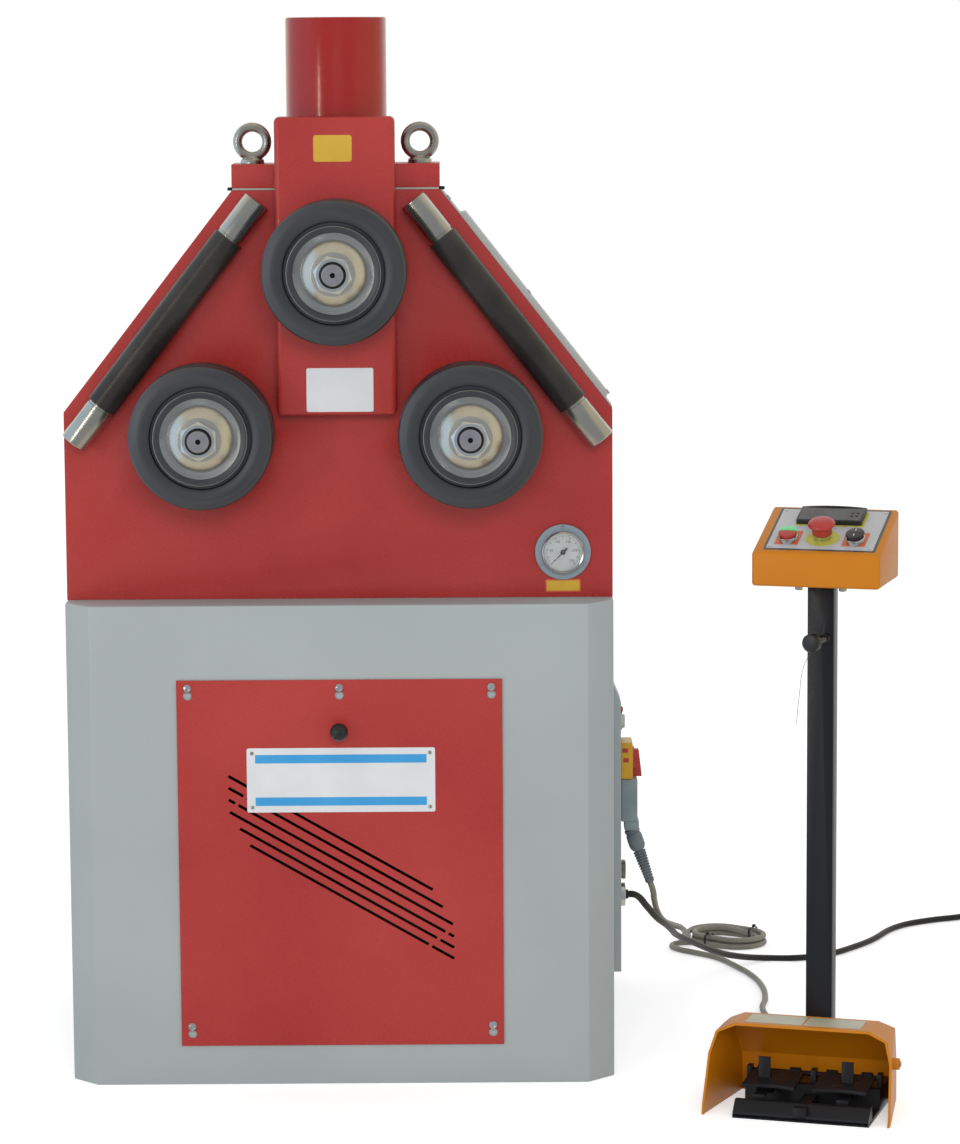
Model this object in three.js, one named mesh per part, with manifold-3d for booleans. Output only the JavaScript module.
// Ring roller: a floor-standing three-roll bender for bars and sections.
// Lengths are in millimetres and +Z is up. The origin is the centre of the cabinet's underside.
// Inside the machine group y is measured back from the cabinet's front.

import * as THREE from "three";
import { mergeVertices } from "three/addons/utils/BufferGeometryUtils.js";
import Module from "manifold-3d";

const wasm = await Module();
wasm.setup();

// Clearances and facets that every piece shares
const seatGap = 0.3;
const runGap = 0.5;
const overrun = 5;
const weldReach = 0.001;
const fewSides = 12;
const shaftSides = 16;
const rollSides = 24;

// Cabinet of bent and welded sheet
const cabinet = { width: 840, depth: 700, height: 747, wall: 4, topSheet: 8, floorSheet: 8, corner: 40 };
const doorway = { halfWidth: 225, low: 85, high: 610 };
const sideWireHole = { radius: 30, y: 300, z: 200 };

// Welded head. Its heights, and those of all that it carries, are above the cabinet's top.
const head = {
  front: 75, rimBack: 165, back: 635, shoulderZ: 290, topZ: 626.5, topHalf: 158, skin: 8, rear: 12, inset: 22,
};
const frontPlate = { thickness: 25 };
const slot = { endPlay: 3 };
const slideway = { thickness: 29.7, low: 243, high: 618, depth: 60 };
const cap = { low: 630, high: 666, shimLow: 626.8, shimInset: 8, barDepth: 90, footHalf: 85, footBack: 240 };

// Slide head, which carries the top roll down on a cylinder
const slide = {
  rollZ: 506.7, travel: 150, boxHalf: 91, boxLow: 286, boxHigh: 738, boxFront: 35, boxBack: 74.5,
  boxEdge: 8, neckHalf: 45, neckHalfHeight: 60, blockHalf: 80, blockHalfHeight: 95, blockBack: 300,
};
const cylinder = {
  y: 155, outerRadius: 77, boreRadius: 63, height: 221, capThickness: 20, glandHeight: 11,
  noseRadius: 45, noseInset: 1, portRadius: 9, portDrop: 34, bossRadius: 15, bossLength: 9,
};
const ram = { rodRadius: 30, topClearance: 7, pistonThickness: 30 };
const eyeBolt = {
  x: 128, y: 120, ringRise: 33, outerRadius: 29.5, innerRadius: 15, thickness: 14,
  collarRadius: 18.5, collarHeight: 8, shankRadius: 12, shankRise: 3,
};

// Rolls, their shafts and what drives them
const roll = {
  radius: 109, front: -50, back: 30, lowerX: 203, lowerZ: 260.3, seatRadius: 25,
  grooveWidth: 8, grooveDepth: 25, landWidth: 20, midLand: 24, rim: 7, edge: 2, dish: 5,
  hubRadius: 71, hubLip: 6, hubProud: 6, hubFloor: 2, hubDish: 9, moat: 6, moatDepth: 10,
};
const shaft = {
  neckRadius: 30, collarRadius: 38, threadRadius: 19, front: -97, seatFront: -46, chamfer: 2,
  centreRadius: 4, centreDepth: 5, topCollarBack: 34.7, lowerCollarBack: 72.7,
  topRetainerRadius: 40, topRetainerThickness: 11.5,
};
const clampNut = { coneRadius: 49.5, coneRim: 4, coneThickness: 18.7, neckRadius: 33, acrossFlats: 55, height: 24 };
const bearing = { noseRadius: 47.7, noseFront: 73, bodyRadius: 60, back: 360 };
const drive = {
  gearTeeth: 32, pinionTeeth: 18, front: 395, thickness: 30, seatRadius: 28, hubRadius: 40,
  endRadius: 34, endGap: 0.3, endThickness: 9, pinionStub: 20, boxRadius: 75, boxFront: 440,
};
const toothShares = { addendum: 0.8, dedendum: 1 };
const gearToothDegrees = { tip: 1.5, root: 3.6 };
const pinionToothDegrees = { tip: 2.6, root: 6.4 };

// Guide bars along the two slopes of the head: the start is before the slope's top corner
const guide = {
  y: 45, start: -13.44, inset: 40.87, length: 464.04, barRadius: 21.5, sleeveRadius: 24,
  endLength: 71, studRadius: 10, studInset: 40, chamfer: 2,
};

// Pressure gauge on the front plate, in from the head's right side
const gauge = {
  inset: 76.5, z: 70.3, flangeRadius: 42.8, flangeThickness: 4, bezelRadius: 32.8, bezelFront: 60,
  bezelWall: 2.8, dialFront: 68, bodyRadius: 31, bodyBack: 120, spigotRadius: 8, spigotLength: 15,
  screwRing: 37.5, screwRadius: 2.6, screwHead: 1.6,
};
const needle = {
  front: 64, thickness: 2, length: 24, tail: 9, halfWidth: 1.6, hubRadius: 4, spindle: 1.7, restDegrees: 45,
};

// Cover of the right slope
const slopeCover = { front: 84, back: 161, sheet: 1.5, proud: 9, from: 48, to: 408, bevel: 4, endMargin: 1 };

// Fittings of the right side. Their x, and that of the cords and the stand, is from the cabinet's side.
const sideBox = { out: 19, low: 112, shoulder: 551, high: 596, front: 262, back: 338, wall: 2 };
const fittings = { y: 300 };
const button = { z: 514, radius: 11, proud: 7.5, stemIn: 10, bezelRadius: 14, bezelProud: 3 };
const switchBody = { low: 424, high: 483, halfWidth: 30, thickness: 18.7, bevel: 3 };
const handle = { z: 453.5, hubRadius: 20, hubThickness: 3, halfWidth: 7, down: 28.5, up: 15.5, proud: 14 };
const hood = { low: 345, high: 423.5, halfWidth: 22, proud: 26.7, toe: 10.7, bevel: 12 };
const outlet = { x: 36, z: 341, leanDegrees: 19.05, nutRadius: 12.5, nutLength: 26, root: 14 };
const relief = {
  length: 68.7, ribs: 11, ribRadius: 9.5, tailRadius: 6.6, grooveShare: 0.8, plain: 10, sides: 8,
};
const mainsFlange = { z: 231, radius: 19.5, thickness: 5.7, nutRadius: 12, length: 12.3 };

// Hydraulic power pack inside the cabinet
const pack = {
  halfWidth: 200, front: 200, back: 500, tankHeight: 250, tankEdge: 12, plate: 10, plateMargin: 8,
  motorRadius: 70, motorHeight: 190, motorX: -90, fanRadius: 62, fanHeight: 30, valveHalf: 35,
  valveX: 90, valveHeight: 120,
};

// Front panel that lifts off its keyhole screws
const panel = { halfWidth: 248.6, low: 62, high: 632.6, thickness: 3 };
const keyhole = { slot: 7, wide: 14, drop: 11.3, sideX: 231.8, topZ: 620, lowZ: 92 };
const ballKnob = { z: 556.2, radius: 13.5, stemRadius: 5, stemLength: 12 };
const vent = {
  width: 4.6, startX: -171, startZ: 484.4, startStep: 18.4, upperEndX: 140.4, endStep: 15.3,
  lowX: -169.5, lowZ: 428.4, lowStep: 26, lowEndX: 172.6,
  bridge: 5, bridgeX: -135.6, lowBridgeX: 159.2, bridgeStep: -12.8,
};
const ventSlopeShare = -0.575;

// Control stand, in its own frame: x across, y back from the guard's front edge, z up
const stand = { x: 263.7, y: -235.8, turnDegrees: -17 };
const footBase = {
  left: -99.5, right: 107.5, front: -4, plate: 6, blockFront: 80, back: 160.7, blockHigh: 36,
  ribLeft: -7, ribRight: 13, ribHigh: 22, lugThickness: 7.5, lugHalf: 8, centreLug: 8,
};
const hinge = { y: 100, z: 48, radius: 4 };
const pedal = {
  front: 20, back: 92, frontZ: 46, backZ: 52, thickness: 5, dip: 7, knuckleWidth: 16, knuckleWall: 4,
  slotFront: 55, slotBack: 71, slotHalf: 10.5,
};
const pedalSpans = [
  { name: "left", from: -91, to: -11, knuckles: [-84, -34], latch: -65 },
  { name: "right", from: 17, to: 98, knuckles: [22, 76], latch: 62 },
];
const latch = {
  y: 61.5, z: 30, pinRadius: 2, halfWidth: 9, post: 3, postTop: 80, armFront: 26, armHigh: 31,
  arm: 3, tabLow: 20, eyeRadius: 5, lugThickness: 3,
};
const guard = {
  x: -5, floorHalf: 143, lowHalf: 145, lowZ: 70, highHalf: 131, highZ: 120, topHalf: 103, top: 133,
  roofFront: 45, roofBack: 115, rearHigh: 62, rear: 165, taper: 24, wall: 4, bossRadius: 9, bossY: 60,
  bossZ: 83, bossFrom: 130, bossTo: 141,
};
const column = {
  x: -6, halfWidth: 20, front: 170, back: 200, wall: 3, top: 780, footHalf: 90, footFront: 165.3,
  footBack: 260, foot: 8, innerGap: 0.5, innerWall: 2.5, innerLow: 400,
};
const gland = { z: 25, radius: 9, length: 8, boreRadius: 5.5 };
const clampKnob = {
  x: 2.6, z: 702.8, leanDegrees: 11.3, bossRadius: 8, bossLength: 9, stemRadius: 4, neckRadius: 6.5,
  discRadius: 14, discThickness: 13, reach: 61,
};
const controlBox = { halfWidth: 95.5, front: 108, back: 253, low: 787, frontHigh: 838, backHigh: 889, wall: 3, edge: 3 };
const cableHole = { radius: 6, x: -6 };
const stop = { x: 1, y: 44, headRadius: 20, headLow: 22, headHigh: 36, stemRadius: 11, collarRadius: 14, collar: 5, press: 5 };
const rocker = { x: 51, y: 37, bezelRadius: 14.5, bezelHigh: 13, radius: 11, high: 17, press: 3, split: 0.4 };
const readout = { halfWidth: 50, front: 92, back: 138, high: 9, hoodFront: 126, hoodHigh: 18 };

// Cords: their lines are lists of places, and their coils are worked out below
const greyCord = { radius: 5, sides: 8 };
const mainsCord = { radius: 5.5, sides: 8 };
const tagCord = { radius: 0.4, sides: 6 };
const floorLift = 0.3;
const stepDiameters = 3;
const coilSides = 6;
const loopSteps = 24;
const hank = {
  centre: [232.4, 953.6], alongDegrees: -34.8, halfStraight: 20, outerRadius: 52, pitch: 10.8,
  steps: 69, arcSteps: 8,
};
const mainsCoil = {
  centre: [769, 1097], alongDegrees: 0, halfStraight: 0, outerRadius: 75, pitch: 11.6,
  steps: 128, arcSteps: 12, endPhase: 18,
};
const layerGap = 0.6;
const plug = {
  z: 24.4, sleeveRadius: 8.5, sleeveLength: 22, bodyRadius: 20, shoulder: 14, bodyLength: 48,
  collarRadius: 24, collarLength: 36, collarWall: 3, pinRadius: 2.5, pinRing: 12, pinLength: 26,
  pins: 5, rise: 40,
};
const greyLeadLine = [
  [67.1, 300, 250.2], [70.3, 300, 241], [75, 335, 214], [83.5, 390, 180], [96, 450, 153],
  [110, 510, 134], [125, 560, 118.5], [136, 650, 95], [146, 730, 71], [154, 810, 49],
  [157, 870, 34.5], [160.4, 925, 19.5],
];
const greyFootLine = [
  [161, 933.6, 5.3], [140, 925, 5.3], [131, 903.5, 5.3], [138.8, 883.4, 5.3], [170, 851, 5.3],
  [202, 818, 5.3], [233, 749, 5.3], [256, 682, 5.3], [269, 601, 5.3], [268, 509, 5.3],
  [259, 447, 5.3], [261, 400, 5.3], [270, 330, 5.3], [292, 240, 5.3], [325, 150, 7],
];
const footEntryLine = [[0, 290, 15], [-4, 256, 20.5], [-6, 236, 24.6], [-6, 222, 25]];
const mainsLeadLine = [
  [31.9, 300, 231], [38, 300, 231], [47, 308, 226], [61.4, 326, 206.5], [79.5, 360, 179.5],
  [98, 410, 155.5], [110, 465, 134], [121, 530, 111], [156.6, 620, 75.9], [195.3, 700, 43.2], [233.6, 760, 20.6],
  [287, 806, 5.8], [355, 807, 5.8], [412, 841, 5.8], [446, 880, 5.8], [484, 933, 5.8],
  [550, 1052, 5.8], [610, 1097, 5.8], [667, 1123.5, 5.8],
];
const tagLine = [
  [-5.9, 126.5, 695.6], [-9, 126.5, 688], [-16, 123, 678], [-21, 118, 664], [-23.5, 114, 648],
  [-24.5, 112, 632], [-27, 110.5, 608], [-29, 110, 581.2],
];

// Colours and surfaces of the pieces
const finishes = {
  redPaint: ["#a5202b", 0.45, 0.1], greyPaint: ["#a9b3ad", 0.5, 0.1], palePaint: ["#c3c8bf", 0.5, 0.1],
  darkSteel: ["#3d434c", 0.4, 0.8], brightSteel: ["#b9bcc0", 0.3, 0.9], zinc: ["#c2b78f", 0.35, 0.9],
  chrome: ["#d5d8db", 0.12, 1], bluedCase: ["#6f8593", 0.45, 0.2], blackPlastic: ["#1d1e20", 0.5, 0],
  redPlastic: ["#c02a24", 0.4, 0], greyPlastic: ["#7f8b94", 0.5, 0], whitePlastic: ["#e9e8e2", 0.4, 0],
  orangePlastic: ["#d9531c", 0.45, 0], greenPlastic: ["#3f9a4a", 0.35, 0], yellowPlastic: ["#e3b21f", 0.4, 0],
  castIron: ["#5c6166", 0.6, 0.5], greyCable: ["#6c7a72", 0.6, 0], blackCable: ["#17181a", 0.6, 0],
};

const radians = Math.PI / 180;
const quarterTurn = 90;
const machineCentre = cabinet.depth / 2;

// Small tools for shapes

// A closed mesh with shared corners, no collapsed triangles and its faces pointing out.
function weld(geometry) {
  const bare = geometry.clone();
  bare.deleteAttribute("normal");
  bare.deleteAttribute("uv");
  const merged = mergeVertices(bare, weldReach);
  const corners = merged.index.array;
  const places = merged.attributes.position;
  const [a, b, c] = [new THREE.Vector3(), new THREE.Vector3(), new THREE.Vector3()];
  const kept = [];
  let volume = 0;
  for (let i = 0; i < corners.length; i += 3) {
    const [p, q, r] = [corners[i], corners[i + 1], corners[i + 2]];
    if (p !== q && q !== r && r !== p) {
      kept.push(p, q, r);
      a.fromBufferAttribute(places, p);
      b.fromBufferAttribute(places, q);
      c.fromBufferAttribute(places, r);
      volume += a.dot(b.cross(c));
    }
  }
  merged.setIndex(volume < 0 ? kept.reverse() : kept);
  return merged;
}

function solid(shape) {
  if (!shape.isBufferGeometry) {
    return shape;
  }
  const welded = weld(shape);
  const vertProperties = new Float32Array(welded.attributes.position.array);
  const triVerts = new Uint32Array(welded.index.array);
  return new wasm.Manifold(new wasm.Mesh({ numProp: 3, vertProperties, triVerts }));
}

function surface(shape) {
  if (shape.isBufferGeometry) {
    return weld(shape);
  }
  const mesh = shape.getMesh();
  const geometry = new THREE.BufferGeometry();
  geometry.setAttribute("position", new THREE.BufferAttribute(mesh.vertProperties, 3));
  geometry.setIndex(new THREE.BufferAttribute(mesh.triVerts, 1));
  return geometry;
}

function join(...shapes) {
  return shapes.map(solid).reduce((whole, shape) => whole.add(shape));
}

function cut(body, ...tools) {
  return tools.map(solid).reduce((left, tool) => left.subtract(tool), solid(body));
}

function common(body, other) {
  return solid(body).intersect(solid(other));
}

function block([left, right], [front, back], [low, high]) {
  const box = new THREE.BoxGeometry(right - left, back - front, high - low);
  return box.translate((left + right) / 2, (front + back) / 2, (low + high) / 2);
}

// Turns a shape made along Y so that it lies along the named axis, then sets its centre line.
function layAlong(geometry, axis, [a, b]) {
  if (axis === "x") {
    return geometry.rotateZ(-Math.PI / 2).translate(0, a, b);
  }
  if (axis === "z") {
    return geometry.rotateX(Math.PI / 2).translate(a, b, 0);
  }
  return geometry.translate(a, 0, b);
}

function rod(axis, radius, [from, to], centre, count = shaftSides) {
  const bar = new THREE.CylinderGeometry(radius, radius, to - from, count);
  return layAlong(bar.translate(0, (from + to) / 2, 0), axis, centre);
}

// A turned piece. The profile holds [radius, place along the axis] pairs.
function turned(axis, profile, centre, count = shaftSides) {
  const points = profile.map(([radius, along]) => new THREE.Vector2(radius, along));
  if (points[0].x > 0 || points[points.length - 1].x > 0) {
    points.push(points[0].clone());
  }
  return layAlong(new THREE.LatheGeometry(points, count), axis, centre);
}

// An outline pushed along an axis: its points are (y, z), (x, z) or (x, y) pairs.
function prism(axis, outline, [from, to]) {
  const shape = new THREE.Shape(outline.map(([a, b]) => new THREE.Vector2(a, b)));
  const depth = to - from;
  const geometry = new THREE.ExtrudeGeometry(shape, { depth, bevelEnabled: false });
  if (axis === "x") {
    const across = new THREE.Vector3(0, 1, 0);
    const up = new THREE.Vector3(0, 0, 1);
    const turn = new THREE.Matrix4().makeBasis(across, up, new THREE.Vector3(1, 0, 0));
    return geometry.applyMatrix4(turn).translate(from, 0, 0);
  }
  if (axis === "y") {
    return geometry.rotateX(Math.PI / 2).translate(0, to, 0);
  }
  return geometry.translate(0, 0, from);
}

function circleOutline([x, y], radius, count, turn = 0) {
  return Array.from({ length: count }, (_, i) => {
    const angle = turn + (2 * Math.PI * i) / count;
    return [x + radius * Math.cos(angle), y + radius * Math.sin(angle)];
  });
}

// Rectangle with its corners cut by the given size.
function chamferedOutline([left, right], [low, high], size) {
  return [
    [left + size, low], [right - size, low], [right, low + size], [right, high - size],
    [right - size, high], [left + size, high], [left, high - size], [left, low + size],
  ];
}

// Radius of a faceted bore whose flats clear a round of the given radius.
function clearBore(radius, count = shaftSides, gap = seatGap) {
  return (radius + gap) / Math.cos(Math.PI / count);
}

// Cabinet

function cabinetOutline(inset) {
  const half = cabinet.width / 2 - inset;
  const corner = cabinet.corner - inset * (2 - Math.SQRT2);
  const back = cabinet.depth - inset;
  return [
    [-half + corner, inset], [half - corner, inset], [half, inset + corner],
    [half, back], [-half, back], [-half, inset + corner],
  ];
}

function makeCabinet() {
  const shell = prism("z", cabinetOutline(0), [0, cabinet.height]);
  const inside = prism("z", cabinetOutline(cabinet.wall), [cabinet.floorSheet, cabinet.height - cabinet.topSheet]);
  const mouth = block(
    [-doorway.halfWidth, doorway.halfWidth],
    [-overrun, cabinet.wall + overrun],
    [doorway.low, doorway.high],
  );
  const half = cabinet.width / 2;
  const wires = rod(
    "x", sideWireHole.radius, [half - cabinet.wall - overrun, half + overrun],
    [sideWireHole.y, sideWireHole.z], fewSides,
  );
  return cut(shell, inside, mouth, wires);
}

// Keyholes of the front panel: three along the top edge and two near the foot
const keyholePlaces = [
  [-keyhole.sideX, keyhole.topZ], [0, keyhole.topZ], [keyhole.sideX, keyhole.topZ],
  [-keyhole.sideX, keyhole.lowZ], [keyhole.sideX, keyhole.lowZ],
];

// A slot of the given width along a line of places on the panel.
function slotTool(line, width, [front, back]) {
  const ways = line.slice(1).map(([x, z], i) => new THREE.Vector2(x - line[i][0], z - line[i][1]).normalize());
  const sides = line.map(([x, z], i) => {
    const after = ways[Math.min(i, ways.length - 1)];
    const before = ways[Math.max(i - 1, 0)];
    const middle = before.clone().add(after).normalize();
    const half = width / 2 / middle.dot(after);
    return [[x + middle.y * half, z - middle.x * half], [x - middle.y * half, z + middle.x * half]];
  });
  return prism("y", [...sides.map(([side]) => side), ...sides.map(([, side]) => side).reverse()], [front, back]);
}

// Six straight vents run down to the right, side by side. A narrow bridge near one end
// of each keeps the sheet together.
function ventTools(span) {
  const tools = [];
  for (const line of [0, 1, 2]) {
    const startZ = vent.startZ - vent.startStep * line;
    const endX = vent.upperEndX + vent.endStep * line;
    const upperZ = (x) => startZ + ventSlopeShare * (x - vent.startX);
    const bridgeX = vent.bridgeX + vent.bridgeStep * line;
    const bridgeEndX = bridgeX + vent.bridge;
    tools.push(slotTool([[vent.startX, startZ], [bridgeX, upperZ(bridgeX)]], vent.width, span));
    tools.push(slotTool([[bridgeEndX, upperZ(bridgeEndX)], [endX, upperZ(endX)]], vent.width, span));
    const lowX = vent.lowX + vent.endStep * line;
    const lowZ = vent.lowZ - vent.lowStep * line;
    const lowerZ = (x) => lowZ + ventSlopeShare * (x - lowX);
    const lowBridgeX = vent.lowBridgeX + vent.bridgeStep * line;
    const lowBridgeEndX = lowBridgeX + vent.bridge;
    tools.push(slotTool([[lowX, lowZ], [lowBridgeX, lowerZ(lowBridgeX)]], vent.width, span));
    tools.push(slotTool([[lowBridgeEndX, lowerZ(lowBridgeEndX)], [vent.lowEndX, lowerZ(vent.lowEndX)]], vent.width, span));
  }
  return tools;
}

function makeFrontPanel() {
  const back = -seatGap;
  const front = back - panel.thickness;
  const through = [front - overrun, back + overrun];
  const sheet = block([-panel.halfWidth, panel.halfWidth], [front, back], [panel.low, panel.high]);
  const holes = keyholePlaces.flatMap(([x, z]) => [
    rod("y", keyhole.wide / 2, through, [x, z - keyhole.drop], fewSides),
    block([x - keyhole.slot / 2, x + keyhole.slot / 2], through, [z - keyhole.drop, z + keyhole.slot / 2]),
  ]);
  const ballY = front - ballKnob.stemLength - ballKnob.radius;
  const ball = new THREE.SphereGeometry(ballKnob.radius, fewSides, fewSides / 2).translate(0, ballY, ballKnob.z);
  const stem = rod("y", ballKnob.stemRadius, [ballY, front + panel.thickness / 2], [0, ballKnob.z], fewSides);
  return join(cut(sheet, ...holes, ...ventTools(through)), stem, ball);
}

// Head

// Section of the head, with its sides and slopes drawn in by an inset and its roof lowered by a drop
function headOutline(low, inset = 0, drop = 0) {
  const rise = head.topZ - head.shoulderZ;
  const lean = (cabinet.width / 2 - head.topHalf) / rise;
  const shift = inset * slopeLength / rise;
  const half = cabinet.width / 2 - inset;
  const kneeZ = head.shoulderZ - (shift - inset) / lean;
  const top = head.topZ - drop;
  const topHalf = head.topHalf - shift + drop * lean;
  return [[-half, low], [half, low], [half, kneeZ], [topHalf, top], [-topHalf, top], [-half, kneeZ]];
}

const headLow = seatGap;
const gaugeX = cabinet.width / 2 - gauge.inset;
const slopeRun = new THREE.Vector2(cabinet.width / 2 - head.topHalf, head.shoulderZ - head.topZ);
const slopeLength = slopeRun.length();
const slopeDown = slopeRun.clone().normalize();
const slopeOut = new THREE.Vector2(-slopeDown.y, slopeDown.x);
const lowerRollPlaces = [[-roll.lowerX, roll.lowerZ], [roll.lowerX, roll.lowerZ]];

function makeFrontFramePlate() {
  const back = head.front + frontPlate.thickness;
  const through = [head.front - overrun, back + overrun];
  const sheet = prism("y", headOutline(headLow), [head.front, back]);
  const reach = slide.neckHalfHeight + slot.endPlay;
  const window = block(
    [-slide.neckHalf - seatGap, slide.neckHalf + seatGap],
    through,
    [slide.rollZ - slide.travel - reach, slide.rollZ + reach],
  );
  const noses = lowerRollPlaces.map((place) => rod("y", clearBore(bearing.noseRadius), through, place));
  const dial = rod("y", clearBore(gauge.bodyRadius), through, [gaugeX, gauge.z]);
  const plate = cut(sheet, window, dial, ...noses);
  const inner = slide.blockHalf + seatGap;
  const ways = [-1, 1].map((side) => {
    const edges = [side * inner, side * (inner + slideway.thickness)].sort((a, b) => a - b);
    return block(edges, [back - frontPlate.thickness / 2, back + slideway.depth], [slideway.low, slideway.high]);
  });
  return join(plate, ...ways);
}

// Shell behind the front plate: a full rim, and a rear housing drawn in all round
function makeHeadShell() {
  const front = head.front + frontPlate.thickness + seatGap;
  const rimRoomBack = head.rimBack - head.skin;
  const outer = join(
    prism("y", headOutline(headLow), [front, head.rimBack]),
    prism("y", headOutline(headLow, head.inset), [rimRoomBack, head.back]),
  );
  const roomLow = headLow - overrun;
  const rimRoom = prism("y", headOutline(roomLow, head.skin, head.skin), [front - overrun, rimRoomBack]);
  const rearRoom = prism(
    "y", headOutline(roomLow, head.inset + head.skin, head.skin), [front - overrun, head.back - head.rear],
  );
  const ramWay = rod(
    "z", clearBore(cylinder.noseRadius), [head.topZ - head.skin - overrun, head.topZ + overrun], [0, cylinder.y],
  );
  return cut(outer, rimRoom, rearRoom, ramWay);
}

function makeCapPlate() {
  const barBack = head.front + cap.barDepth;
  const middle = (cap.low + cap.high) / 2;
  const bar = block([-head.topHalf, head.topHalf], [head.front, barBack], [cap.low, cap.high]);
  const foot = block([-cap.footHalf, cap.footHalf], [barBack - cap.shimInset, cap.footBack], [cap.low, cap.high]);
  const inset = cap.shimInset;
  const shim = block(
    [-head.topHalf + inset, head.topHalf - inset], [head.front + inset, barBack - inset], [cap.shimLow, middle],
  );
  const through = [cap.shimLow - overrun, cap.high + overrun];
  const gland = rod("z", clearBore(cylinder.noseRadius), through, [0, cylinder.y]);
  const shanks = [-1, 1].map((side) =>
    rod("z", clearBore(eyeBolt.shankRadius, fewSides), through, [side * eyeBolt.x, eyeBolt.y], fewSides));
  return cut(join(bar, foot, shim), gland, ...shanks);
}

function makeEyeBolt(side) {
  const x = side * eyeBolt.x;
  const ringZ = cap.high + eyeBolt.ringRise;
  const half = eyeBolt.thickness / 2;
  const span = [eyeBolt.y - half, eyeBolt.y + half];
  const collarLow = cap.high + seatGap;
  const ring = rod("y", eyeBolt.outerRadius, span, [x, ringZ], shaftSides);
  const eye = rod("y", eyeBolt.innerRadius, [span[0] - overrun, span[1] + overrun], [x, ringZ], shaftSides);
  const collar = rod("z", eyeBolt.collarRadius, [collarLow, collarLow + eyeBolt.collarHeight], [x, eyeBolt.y], fewSides);
  const shank = rod("z", eyeBolt.shankRadius, [cap.low + eyeBolt.shankRise, collarLow + eyeBolt.collarHeight / 2], [x, eyeBolt.y], fewSides);
  return cut(join(ring, collar, shank), eye);
}

// Slide head and cylinder

function makeSlideHead() {
  const box = prism(
    "z",
    chamferedOutline([-slide.boxHalf, slide.boxHalf], [slide.boxFront, slide.boxBack], slide.boxEdge),
    [slide.boxLow, slide.boxHigh],
  );
  const blockFront = head.front + frontPlate.thickness + seatGap;
  const neck = block(
    [-slide.neckHalf, slide.neckHalf],
    [(slide.boxFront + slide.boxBack) / 2, blockFront + overrun],
    [slide.rollZ - slide.neckHalfHeight, slide.rollZ + slide.neckHalfHeight],
  );
  const housing = block(
    [-slide.blockHalf, slide.blockHalf],
    [blockFront, slide.blockBack],
    [slide.rollZ - slide.blockHalfHeight, slide.rollZ + slide.blockHalfHeight],
  );
  const bore = rod(
    "y", clearBore(shaft.neckRadius), [slide.boxFront - overrun, slide.blockBack + overrun], [0, slide.rollZ],
  );
  return cut(join(box, neck, housing), bore);
}

const cylinderTop = cap.high + cylinder.height;

function makeCylinderTube() {
  const low = cap.high + seatGap;
  const noseLow = cap.low + cylinder.noseInset;
  const glandTop = cap.high + cylinder.glandHeight;
  const capLow = cylinderTop - cylinder.capThickness;
  const rodBore = clearBore(ram.rodRadius, shaftSides, runGap);
  const tube = turned("z", [
    [0, cylinderTop], [cylinder.outerRadius, cylinderTop], [cylinder.outerRadius, low],
    [cylinder.noseRadius, low], [cylinder.noseRadius, noseLow], [rodBore, noseLow],
    [rodBore, glandTop], [cylinder.boreRadius, glandTop],
    [cylinder.boreRadius, capLow], [0, capLow],
  ], [0, cylinder.y]);
  const wall = cylinder.outerRadius - cylinder.boreRadius;
  const bossFrom = cylinder.y + cylinder.outerRadius - wall / 2;
  const bossTo = cylinder.y + cylinder.outerRadius + cylinder.bossLength;
  const portZ = cylinderTop - cylinder.portDrop;
  const boss = rod("y", cylinder.bossRadius, [bossFrom, bossTo], [0, portZ], fewSides);
  const port = rod("y", cylinder.portRadius, [bossFrom - wall, bossTo + overrun], [0, portZ], fewSides);
  return cut(join(tube, boss), port);
}

function makePistonRod() {
  const low = slide.rollZ + slide.blockHalfHeight + seatGap;
  const pistonTop = cylinderTop - cylinder.capThickness - ram.topClearance;
  const pistonLow = pistonTop - ram.pistonThickness;
  return turned("z", [
    [0, low], [ram.rodRadius, low], [ram.rodRadius, pistonLow],
    [cylinder.boreRadius - seatGap, pistonLow], [cylinder.boreRadius - seatGap, pistonTop],
    [0, pistonTop],
  ], [0, cylinder.y]);
}

// Rolls, shafts and drive

function makeRoll(place) {
  const { radius, edge, rim } = roll;
  const root = radius - roll.grooveDepth;
  const grooves = [roll.back - roll.landWidth, roll.back - roll.landWidth - roll.grooveWidth - roll.midLand];
  const grooveSteps = grooves.flatMap((start) => [
    [radius, start], [root, start], [root, start - roll.grooveWidth], [radius, start - roll.grooveWidth],
  ]);
  const bore = clearBore(roll.seatRadius);
  const hubFront = roll.front - roll.hubProud;
  const hubFloor = roll.front + roll.hubFloor;
  const lip = roll.hubRadius - roll.hubLip;
  const moatOuter = roll.hubRadius + roll.moat;
  return turned("y", [
    [bore, roll.back], [radius, roll.back], ...grooveSteps,
    [radius, roll.front + edge], [radius - edge, roll.front], [radius - rim, roll.front],
    [moatOuter, roll.front + roll.dish], [moatOuter, roll.front + roll.moatDepth],
    [roll.hubRadius, roll.front + roll.moatDepth], [roll.hubRadius, hubFront],
    [lip, hubFront], [lip - roll.hubDish, hubFloor], [bore, hubFloor],
  ], place, rollSides);
}

// Ends of a shaft in front of its collar, from the thread's centre hole to the roll's seat
function shaftFront() {
  return [
    [0, shaft.front + shaft.centreDepth], [shaft.centreRadius, shaft.front],
    [shaft.threadRadius - shaft.chamfer, shaft.front], [shaft.threadRadius, shaft.front + shaft.chamfer],
    [shaft.threadRadius, shaft.seatFront], [roll.seatRadius, shaft.seatFront],
    [roll.seatRadius, roll.back + seatGap], [shaft.collarRadius, roll.back + seatGap],
  ];
}

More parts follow.
